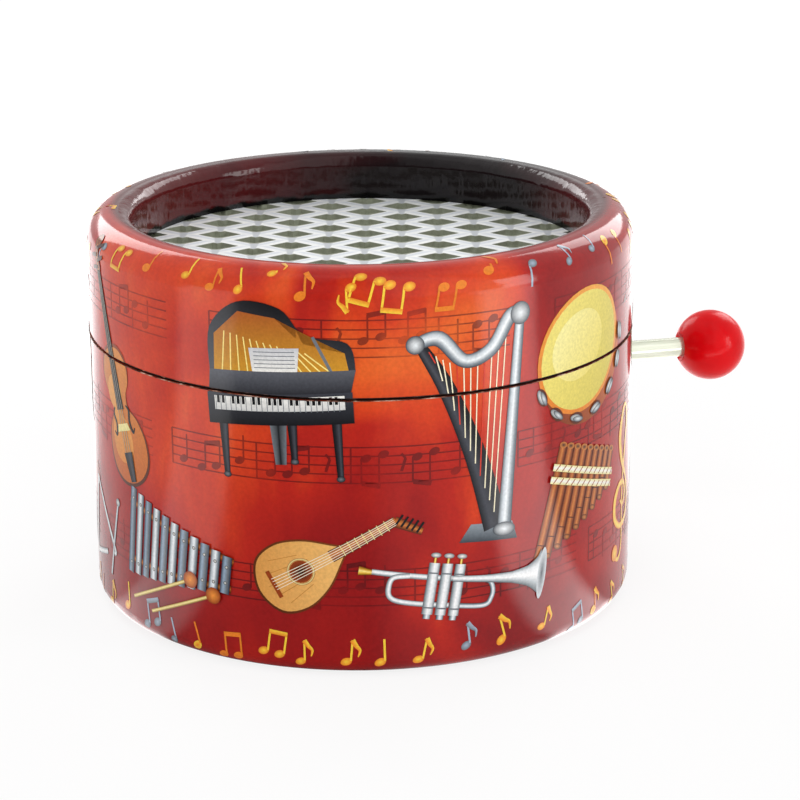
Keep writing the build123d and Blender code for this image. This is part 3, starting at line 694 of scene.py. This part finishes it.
SLICE = 0.8  # width of the slices that let a flat drawing follow the round wall
ARC_CUTS = 5  # cuts over the height of each rounded edge
PICTURE_LIFT = 0.025  # height of the lowest ink of the pictures over the paper
MUSIC_LIFT = 0.012
LIFT_STEP = 0.008  # from one layer of a picture to the next
PRINT_FOOT = -0.6  # the print ends here, on the underside
PRINT_TOP = TOP + 2.6  # and here, on top of the rim
PRINT_GAP = 0.02  # from the pictures to the edge of the paper at the seam
FAR_CLIMB = 1.5  # how much higher the small notes sit on the far side of the rim


def make_piece(name, points, faces, material):
    mesh = bpy.data.meshes.new(name)
    mesh.from_pydata(points, [], faces)
    mesh.materials.append(material)
    piece = bpy.data.objects.new(name, mesh)
    bpy.context.scene.collection.objects.link(piece)
    return piece


def on_paper(u, v, lift):
    """Point and normal on the paper: u runs round it from the front, v up it and over its edges."""
    turn = FRONT + u / CASE_RADIUS
    if v < FOOT + FOOT_ROUND:
        bend = (FOOT + FOOT_ROUND - v) / FOOT_ROUND
        radius = CASE_RADIUS - FOOT_ROUND + FOOT_ROUND * math.cos(bend)
        height = FOOT + FOOT_ROUND - FOOT_ROUND * math.sin(bend)
        bend = -bend
    elif v > TOP - RIM_ROUND:
        bend = (v - TOP + RIM_ROUND) / RIM_ROUND
        radius = CASE_RADIUS - RIM_ROUND + RIM_ROUND * math.cos(bend)
        height = TOP - RIM_ROUND + RIM_ROUND * math.sin(bend)
    else:
        bend, radius, height = 0.0, CASE_RADIUS, v
    out = (math.cos(bend) * math.cos(turn), math.cos(bend) * math.sin(turn), math.sin(bend))
    base = (radius * math.cos(turn), radius * math.sin(turn), height)
    return [(b + o * lift) * MM for b, o in zip(base, out)], out


def cut(bm, place, normal, below=False, above=False):
    whole = bm.verts[:] + bm.edges[:] + bm.faces[:]
    bmesh.ops.bisect_plane(
        bm, geom=whole, dist=1e-5, plane_co=place, plane_no=normal, clear_inner=below, clear_outer=above
    )


class Sheet:
    """Collects the drawings of one half of the case and turns them into one piece."""

    def __init__(self, name, body, low, high, material, lift):
        self.name, self.body, self.low, self.high = name, body, low, high
        self.material, self.lift = material, lift
        self.points, self.normals, self.tints, self.faces = [], [], [], []

    def lay(self, picture, u, v, turn=0.0, size=1.0):
        bm = bmesh.new()
        layer = bm.verts.layers.float_color.new("Tint")
        swing, lean = size * math.cos(turn), size * math.sin(turn)
        for outline, tints, level in picture.faces:
            made = []
            for (x, y), tint in zip(outline, tints):
                vert = bm.verts.new((u + x * swing - y * lean, v + x * lean + y * swing, level * LIFT_STEP))
                vert[layer] = (*tint, 1.0)
                made.append(vert)
            bm.faces.new(made)
        bmesh.ops.triangulate(bm, faces=bm.faces[:])
        cut(bm, (0, self.low, 0), (0, 1, 0), below=True)
        cut(bm, (0, self.high, 0), (0, 1, 0), above=True)
        if bm.verts:
            reach = [vert.co.x for vert in bm.verts]
            for k in range(math.ceil(min(reach) / SLICE), math.floor(max(reach) / SLICE) + 1):
                cut(bm, (k * SLICE, 0, 0), (1, 0, 0))
            for k in range(ARC_CUTS):
                cut(bm, (0, FOOT + FOOT_ROUND - 0.5 * k, 0), (0, 1, 0))
                cut(bm, (0, TOP - RIM_ROUND + 0.9 * k, 0), (0, 1, 0))
        first = len(self.points)
        bm.verts.index_update()
        for vert in bm.verts:
            point, out = on_paper(vert.co.x, vert.co.y, self.lift + vert.co.z)
            self.points.append(point)
            self.normals.append(out)
            self.tints.extend(vert[layer])
        for face in bm.faces:
            corners = [first + vert.index for vert in face.verts]
            self.faces.append(corners if face.normal.z > 0 else corners[::-1])
        bm.free()

    def finish(self):
        piece = make_piece(self.name, self.points, self.faces, self.material)
        mesh = piece.data
        tint = mesh.color_attributes.new("Tint", "FLOAT_COLOR", "POINT")
        tint.data.foreach_set("color", self.tints)
        mesh.polygons.foreach_set("use_smooth", [True] * len(mesh.polygons))
        mesh.normals_split_custom_set_from_vertices(self.normals)
        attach(piece, self.body)


# Each drawing with its place, its turn and its size
LAYOUT = (
    (draw_violin, -34.5, 27.0, 0.32, 1.04),
    (draw_xylophone, -25.0, 13.0, -0.12, 0.94),
    (draw_piano, -10.0, 36.0, 0.06, 0.96),
    (draw_lute, -5.5, 14.5, -1.05, 0.92),
    (draw_harp, 12.0, 30.8, -0.08, 1.14),
    (draw_trumpet, 10.5, 11.0, -0.16, 0.72),
    (draw_tambourine, 31.5, 37.5, 0.2, 1.0),
    (draw_panpipes, 31.0, 17.6, -0.3, 0.95),
    (draw_clef, 43.5, 15.5, -0.12, 1.15),
    (draw_triangle, -44.0, 12.0, 0.25, 0.9),
    (draw_bell, -52.0, 31.0, -0.3, 0.95),
    (draw_metronome, -56.0, 12.6, 0.1, 0.9),
    (draw_harp, -69.5, 33.0, 0.1, 1.0),
    (draw_trumpet, -84.0, 13.0, 0.25, 0.8),
    (draw_clef, -84.5, 36.0, 0.1, 1.0),
    (draw_lute, 58.0, 35.5, -1.1, 1.0),
    (draw_bell, 56.0, 14.0, 0.35, 0.85),
    (draw_piano, 78.0, 31.0, -0.06, 0.94),
    (draw_triangle, 70.5, 11.0, -0.2, 0.85),
    (draw_violin, 96.0, 29.0, -0.5, 0.95),
    (draw_tambourine, 90.0, 11.5, -0.2, 0.85),
    (draw_panpipes, 110.5, 33.0, 0.25, 0.85),
    (draw_xylophone, 108.0, 12.0, 0.15, 0.85),
)


def make_prints():
    """Pictures and small notes on both halves, and the faded music under them."""
    pictures = make_tint_finish()
    music = make_ink_finish()
    dice = random.Random(7)
    low = ("base", PRINT_FOOT, SEAM - SEAM_HALF - PRINT_GAP)
    high = ("lid", SEAM + SEAM_HALF + PRINT_GAP, PRINT_TOP)
    base_sheet = Sheet("base_pictures", *low, pictures, PICTURE_LIFT)
    lid_sheet = Sheet("lid_pictures", *high, pictures, PICTURE_LIFT)
    staves = (Sheet("base_music", *low, music, MUSIC_LIFT), Sheet("lid_music", *high, music, MUSIC_LIFT))
    for height, start in ((9.4, -108.0), (25.0, -101.0), (40.6, -106.0)):
        u = start
        while u < start + GIRTH - 20:
            length = dice.uniform(26, 44)
            staff = Picture(step=0)
            draw_staff(staff, length, dice)
            for sheet in staves:
                sheet.lay(staff, u, height)
            u += length + dice.uniform(1.5, 7)
    for draw, u, v, turn, size in LAYOUT:
        picture = Picture()
        draw(picture)
        for sheet in (base_sheet, lid_sheet):
            sheet.lay(picture, u, v, turn, size)
    for sheet, bottom, top, pace in ((base_sheet, 1.2, 3.4, 2.6), (lid_sheet, 47.6, 50.6, 3.0)):
        on_lid = sheet is lid_sheet
        u = -GIRTH / 2
        while u < GIRTH / 2 - 3:
            kind = dice.choice((0, 0, 1, 1, 2, 3))
            tints = dice.choice(((YELLOW, ORANGE), (YELLOW, AMBER), (ORANGE, YELLOW), (AMBER, ORANGE)))
            if dice.random() < 0.09:
                tints = (PALE_BLUE, GREY)
            turn = dice.uniform(-0.35, 0.35) + (math.pi if on_lid and dice.random() < 0.5 else 0)
            climb = FAR_CLIMB if on_lid and abs(u) > GIRTH / 4 else 0.0
            note = Picture()
            draw_note(note, kind, *tints)
            v = dice.uniform(bottom, top) + climb
            sheet.lay(note, u, v, turn, dice.uniform(0.8, 1.05))
            u += pace * dice.uniform(1.1, 2.4)
    for sheet in (base_sheet, lid_sheet, *staves):
        sheet.finish()


# ---- Frayed paper at the seam ----

TEETH = 900  # round the case
TOOTH_REACHES = (0.01, 0.03, 0.03, 0.05, 0.12)


def make_fray(name, body, height, outward, seed, highlight_share):
    """A ragged line of torn paper fibre along one edge of the seam: partly the fibre's brown, mostly near
    black as painted shade of the seam's gap, and paler on the base's edge as a painted highlight.
    """
    finish = Finish(name, roughness=0.85)
    # Painted shade and highlight: the fibre's colours run near black for the seam's shade, and the paler
    # setting shifts them towards a painted highlight.
    colour = finish.ramp(
        finish.noise(0.7, 4.0),
        (0.42 - highlight_share, tone(28, 12, 9)),
        (0.56 - highlight_share, tone(66, 34, 24)),
        (0.66 - highlight_share, tone(150, 104, 84)),
        (0.74 - highlight_share / 2, tone(226, 196, 176)),
    )
    finish.set("Base Color", colour)
    finish.set("Normal", finish.bump(finish.noise(4.0), 0.05))
    dice = random.Random(seed)
    points, faces = [], []
    reach = 0.08
    for k in range(TEETH):
        turn = 2 * math.pi * k / TEETH
        reach += (dice.choice(TOOTH_REACHES) - reach) * 0.6
        stick = dice.uniform(0.0, 0.04)
        section = ((-0.12, 0.0), (0.03 + stick, 0.02), (0.02 + stick, -reach), (-0.1, -reach * 0.8))
        for out, rise in section:
            x, y, _ = pointer(turn, CASE_RADIUS + out)
            points.append((x * MM, y * MM, (height + outward * rise) * MM))
        for c in range(len(section) - 1):
            a, b = (len(section) * tooth + c for tooth in (k, (k + 1) % TEETH))
            faces.append((a, b, b + 1, a + 1))
    piece = make_piece(name, points, faces, finish.material)
    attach(piece, body)


# ---- Grille ----


def wrapped(finish, arrow, shift, pitch, start):
    """Distance from the nearest line of a row of lines that is `pitch` apart."""
    share = finish.plus(finish.times(finish.minus(finish.along(arrow), shift), 1 / pitch), start)
    return finish.times(finish.minus(finish.math("FRACT", share), 0.5), pitch)


def mesh_marks(finish):
    """At each opening, masks of painted shade: its shear-cut edge, partly the metal's own darker tone; the
    creased bond under it; and the strand beside that bond.
    """
    long_way, short_way = pointer(MESH_TURN), pointer(MESH_TURN + math.pi / 2)
    marks = [0.0, 0.0, 0.0]
    for start in (0.5, 0.0):
        side = finish.math("ABSOLUTE", wrapped(finish, long_way, MESH_SHIFT[0], MESH_LONG, start))
        rise = wrapped(finish, short_way, MESH_SHIFT[1], MESH_SHORT, start)
        over_bond = wrapped(finish, short_way, MESH_SHIFT[1], MESH_SHORT, start + 0.5)
        slant = finish.math("MAXIMUM", finish.times(finish.minus(side, 0.5), 0.5), 0.0)
        upright = finish.times(finish.math("ABSOLUTE", rise), 2 / OPENING_SHORT)
        dip = finish.times(finish.span(side, 0.6, 0.0), finish.span(rise, -0.2, 0.2, 0.0, 0.26))
        rim = finish.plus(finish.plus(upright, dip), slant)  # 1 on the edge of the opening
        width = finish.plus(finish.times(over_bond, 0.13), 0.58)
        shade = finish.times(finish.span(rim, 1.2, 1.5), finish.span(rim, 2.2, 1.7))
        found = (
            finish.span(rim, 1.22, 1.1),
            finish.span(finish.math("DIVIDE", side, width), 1.1, 0.5),
            finish.times(shade, finish.span(rise, 0.2, -0.6)),
        )
        marks = [finish.math("MAXIMUM", mark, new) for mark, new in zip(marks, found)]
    return marks


# ---- Finishes of the CAD nodes ----


def make_metal(name, first, second, wearing, roughness=0.3, stretch=(1, 1, 1), scale=3.0, depth=0.004):
    """Metal with the marks of its making, which run along the axis that is stretched least."""
    finish = Finish(name, metallic=1.0)
    marks = finish.noise(scale, 3.0, stretch)
    finish.set("Base Color", finish.two_tone(marks, first, second))
    rough = finish.span(finish.noise(0.3, 3.0), 0.3, 0.7, roughness * 0.8, roughness * 1.3)
    finish.set("Roughness", rough)
    finish.set("Normal", finish.bump(marks, depth))
    finish.wear(*wearing)


def make_board(name, first, second, wearing):
    """Raw grey board: plies along the edge, flecks of fibre on the faces, and painted shade in the groove at
    the seam.
    """
    finish = Finish(name, roughness=0.9, level=0.2)
    plies = finish.noise(1.6, 2.0, (1, 1, 0.25))
    flecks = finish.noise(1.1, 4.0)
    mottle = finish.plus(finish.times(plies, 0.5), finish.times(flecks, 0.5))
    colour = finish.two_tone(mottle, first, second, 0.35, 0.65)
    # Painted shade: near black where the board shows in the seam's groove.
    from_seam = finish.math("ABSOLUTE", finish.minus(finish.height(), SEAM))
    groove_shade = finish.times(finish.span(from_seam, 0.5, 0.3), finish.span(finish.across(), 34.2, 34.5))
    finish.set("Base Color", finish.mix(colour, tone(34, 18, 12), groove_shade))
    finish.set("Normal", finish.bump(flecks, 0.06))
    finish.wear(*wearing)


def make_grille_finishes():
    mesh = Finish("mesh_metal", roughness=0.4, metallic=0.15)
    # Painted shade: the cut edges and side walls take the backing's grey, partly the cut metal's own darker
    # tone.
    cut_edge_and_shade, crease_shade, shade = mesh_marks(mesh)
    face = mesh.two_tone(mesh.noise(0.8), (240, 242, 242), (252, 253, 250))
    # Painted shade: a blue-grey on the strands beside the bonds, and a pale grey down the creased bonds.
    face = mesh.mix(face, tone(214, 219, 227), mesh.times(shade, 0.8))
    face = mesh.mix(face, tone(196, 200, 204), crease_shade)
    edge = mesh.two_tone(mesh.noise(1.5), (138, 142, 124), (156, 160, 142))
    # Painted shade on the side walls of the strands, below their top face.
    below = mesh.span(mesh.height(), GRILLE_TOP - 0.02, GRILLE_TOP - 0.06)
    mesh.set("Base Color", mesh.mix(face, edge, mesh.math("MAXIMUM", cut_edge_and_shade, below)))
    mesh.set("Normal", mesh.bump(mesh.noise(0.5, 2.0), 0.05))
    mesh.wear("grille")
    backing = Finish("backing_sheet", roughness=0.9, level=0.0)
    backing.set("Base Color", backing.two_tone(backing.noise(1.5, 4.0), (124, 127, 114), (142, 145, 131)))
    backing.set("Normal", backing.bump(backing.noise(2.0), 0.04))
    backing.wear("grille_backing")


def make_crank_finishes():
    rod = Finish("rod_plating", roughness=0.2, metallic=0.6)
    rod.set("Base Color", rod.two_tone(rod.noise(2.0, 2.0, (0.1, 1, 1)), (222, 228, 206), (238, 243, 226)))
    rod.set("Normal", rod.bump(rod.noise(3.0, 2.0, (0.1, 1, 1)), 0.0015))
    rod.wear("crank_rod")
    ball = Finish("ball_gloss", roughness=0.4, coat=0.5, coat_roughness=0.18, level=0.02)
    ball.set("Coat IOR", BALL_IOR)
    ball.set("Base Color", ball.two_tone(ball.noise(0.25, 2.0), (206, 4, 14), (222, 8, 18)))
    ball.set("Normal", ball.bump(ball.noise(0.5, 2.0), 0.02))
    ball.wear("crank_ball")


def make_movement_finishes():
    screws = ("comb_screws", "bracket_screws", "mount_screws")
    shafts = ("drum_arbor", "worm")
    make_metal("cast_lacquer", (178, 148, 84), (206, 180, 112), ("bedplate",), 0.42, scale=1.8, depth=0.03)
    make_metal("comb_ground", (176, 178, 182), (214, 216, 220), ("comb",), 0.24, (0.15, 1, 1), 6.0)
    make_metal("screw_zinc", (178, 176, 172), (210, 208, 204), screws)
    make_metal("bracket_nickel", (188, 186, 180), (220, 218, 212), ("gear_bracket",), 0.3, (1, 1, 0.3), 4.0)
    make_metal("drum_brass", (206, 160, 78), (234, 196, 116), ("drum", "drum_caps"), 0.2, (1, 0.2, 1), 5.0)
    make_metal("turned_steel", (176, 176, 176), (214, 214, 214), shafts, 0.25, (0.3, 1, 1), 5.0)
    wheel = Finish("wheel_plastic", roughness=0.45)
    wheel.set("Base Color", wheel.two_tone(wheel.noise(0.6), (224, 222, 214), (238, 236, 230)))
    wheel.set("Subsurface Weight", 0.1)
    wheel.set("Subsurface Radius", (0.001, 0.001, 0.0008))
    wheel.set("Normal", wheel.bump(wheel.noise(2.0), 0.01))
    wheel.wear("worm_wheel")


def make_finishes():
    make_wrap_finish()
    case_board = ("base_tube", "base_floor", "lid_tube", "rim_ring", "ledge_ring")
    make_board("case_board", (150, 132, 108), (182, 166, 140), case_board)
    make_board("neck_board", (172, 152, 122), (204, 188, 158), ("neck_ring",))
    label = Finish("label_paper", roughness=0.85, level=0.2)
    fibres = label.noise(0.8, 4.0)
    label.set("Base Color", label.two_tone(fibres, (214, 204, 186), (232, 226, 212), 0.35))
    label.set("Normal", label.bump(label.noise(1.6), 0.03))
    label.wear("base_label")
    make_grille_finishes()
    make_movement_finishes()
    make_crank_finishes()


# ---- Camera, stage and light ----

FILL = 0.45  # light from all round
FLOOR_REACH = 1.6  # metres from the middle of the floor to its edge
FLOOR_CELLS = 8
FLOOR_DROP = 0.05  # millimetres from the underside of the case down to the floor
FLOOR_GLOW = 0.85  # share of the floor's glow in what is seen of it

# What gloss mirrors of the room: how bright it is behind the object, and bright places. Each bright place
# has its turn to the right in degrees, how much it adds, and the cosines at which it starts and is full.
WORLD_ROOM = (0.7, ((34, 1.1, 0.84, 0.96), (-42, 0.4, 0.9, 0.98)))
FLOOR_ROOM = (2.6, ((58, 4.0, 0.965, 0.99), (-60, 2.0, 0.965, 0.99), (33, 0.6, 0.84, 0.96)))


def make_camera():
    """The camera fitted to the photograph's outline."""
    camera = bpy.data.objects.new("camera", bpy.data.cameras.new("camera"))
    bpy.context.scene.collection.objects.link(camera)
    right = Vector((0.969840, -0.243676, -0.005701))
    up = Vector((0.079095, 0.292504, 0.952988))
    place = Vector((-77.9953, -333.3971, 133.0700)) * MM
    turn = Matrix((right, up, right.cross(up))).transposed()
    camera.matrix_world = Matrix.Translation(place) @ turn.to_4x4()
    camera.data.sensor_width = 36.0
    camera.data.lens = 123.584
    camera.data.clip_start = 0.01
    bpy.context.scene.camera = camera


class Room(Nodes):
    """What the world and the floor show: plain white to the camera, and bright places to gloss."""

    def __init__(self, tree):
        super().__init__(tree)
        self.rays = self.new("LightPath").outputs
        self.camera = self.rays["Is Camera Ray"]

    def seen(self):
        """1 for what the camera, a reflection or a view through glass shows, and 0 for light."""
        share = self.math("MAXIMUM", self.camera, self.rays["Is Glossy Ray"])
        return self.math("MAXIMUM", share, self.rays["Is Transmission Ray"])

    def facing(self, direction, turn):
        """How nearly a level direction points `turn` degrees right of the camera's side, 1 to -1."""
        level = self.vector("NORMALIZE", self.vector("MULTIPLY", direction, (1, 1, 0)))
        return self.vector("DOT_PRODUCT", level, pointer(FRONT + math.radians(turn)))

    def bright(self, direction, far, places):
        """How bright the room is in a direction: dim in front, white at the sides and `far` behind."""
        front = self.facing(direction, 0)
        found = self.span(front, 0.9, 0.1, 0.12, 1.0)
        found = self.plus(found, self.span(front, -0.45, -0.9, 0.0, far - 1.0))
        for turn, extra, start, full in places:
            found = self.plus(found, self.span(self.facing(direction, turn), start, full, 0.0, extra))
        return found


def make_world():
    world = bpy.data.worlds.new("studio")
    bpy.context.scene.world = world
    world.use_nodes = True
    room = Room(world.node_tree)
    background = room.tree.nodes["Background"]
    background.inputs["Color"].default_value = (1, 1, 1, 1)
    shown = room.seen()
    direction = room.new("TexCoord").outputs["Generated"]
    bright = room.math("MAXIMUM", room.bright(direction, *WORLD_ROOM), room.camera)
    fill = room.times(room.minus(1.0, shown), FILL)
    room.fit(background.inputs["Strength"], room.plus(room.times(shown, bright), fill))


def make_floor_finish():
    """Matt white, with a glow that only the camera and reflections see."""
    material = bpy.data.materials.new("floor_white")
    material.use_nodes = True
    room = Room(material.node_tree)
    room.tree.nodes.remove(room.tree.nodes["Principled BSDF"])
    matt = room.new("BsdfDiffuse")
    room.fit(matt.inputs["Color"], (0.9, 0.9, 0.9))
    glow = room.new("Emission")
    direction = room.new("TexCoord").outputs["Object"]
    mirrored = room.times(room.bright(direction, *FLOOR_ROOM), room.minus(1.0, room.camera))
    room.fit(glow.inputs["Strength"], room.plus(mirrored, room.camera))
    both = room.new("MixShader")
    room.fit(both.inputs[0], room.times(room.seen(), FLOOR_GLOW))
    room.fit(both.inputs[1], matt.outputs[0])
    room.fit(both.inputs[2], glow.outputs[0])
    room.fit(room.tree.nodes["Material Output"].inputs["Surface"], both.outputs[0])
    return material


def make_floor():
    """A flat square, which lies just under the case so that the two don't share a plane."""
    steps = [FLOOR_REACH * (2 * k / FLOOR_CELLS - 1) for k in range(FLOOR_CELLS + 1)]
    points = [(x, y, -FLOOR_DROP * MM) for y in steps for x in steps]
    faces = []
    for row in range(FLOOR_CELLS):
        for column in range(FLOOR_CELLS):
            corner = row * len(steps) + column
            faces.append((corner, corner + 1, corner + len(steps) + 1, corner + len(steps)))
    make_piece("floor", points, faces, make_floor_finish())


def make_lamp(name, turn, rise, distance, size, watts, mirrored=True):
    """A soft box that looks at the case, `turn` degrees right of the camera's side and `rise` degrees up."""
    turn, rise = FRONT + math.radians(turn), math.radians(rise)
    flat = distance * math.cos(rise)
    target = Vector((0, 0, 0.02))
    place = Vector((flat * math.cos(turn), flat * math.sin(turn), distance * math.sin(rise))) + target
    lamp = bpy.data.lights.new(name, "AREA")
    lamp.shape = "RECTANGLE"
    lamp.size, lamp.size_y = size
    lamp.energy = watts
    holder = bpy.data.objects.new(name, lamp)
    bpy.context.scene.collection.objects.link(holder)
    holder.location = place
    holder.rotation_euler = (target - place).to_track_quat("-Z", "Y").to_euler()
    holder.visible_glossy = mirrored


def make_lamps():
    make_lamp("left_rim_box", -148, 28, 0.7, (0.3, 0.4), 1.6)
    make_lamp("right_rim_box", 148, 28, 0.7, (0.3, 0.4), 1.6)
    make_lamp("right_box", 66, 14, 0.6, (0.16, 0.3), 0.9)
    make_lamp("front_box", -12, 34, 0.8, (0.8, 0.5), 2.6, mirrored=False)
    make_lamp("top_box", 10, 82, 0.8, (0.6, 0.6), 1.2, mirrored=False)


bpy.context.scene.view_settings.view_transform = "Standard"
make_camera()
make_world()
make_floor()
make_lamps()
make_finishes()
make_prints()
make_fray("lid_fray", "lid", SEAM + SEAM_HALF, 1, 3, 0.0)
# The base's edge is set paler: a painted highlight.
make_fray("base_fray", "base", SEAM - SEAM_HALF, -1, 5, 0.1)

bpy.context.view_layer.update()
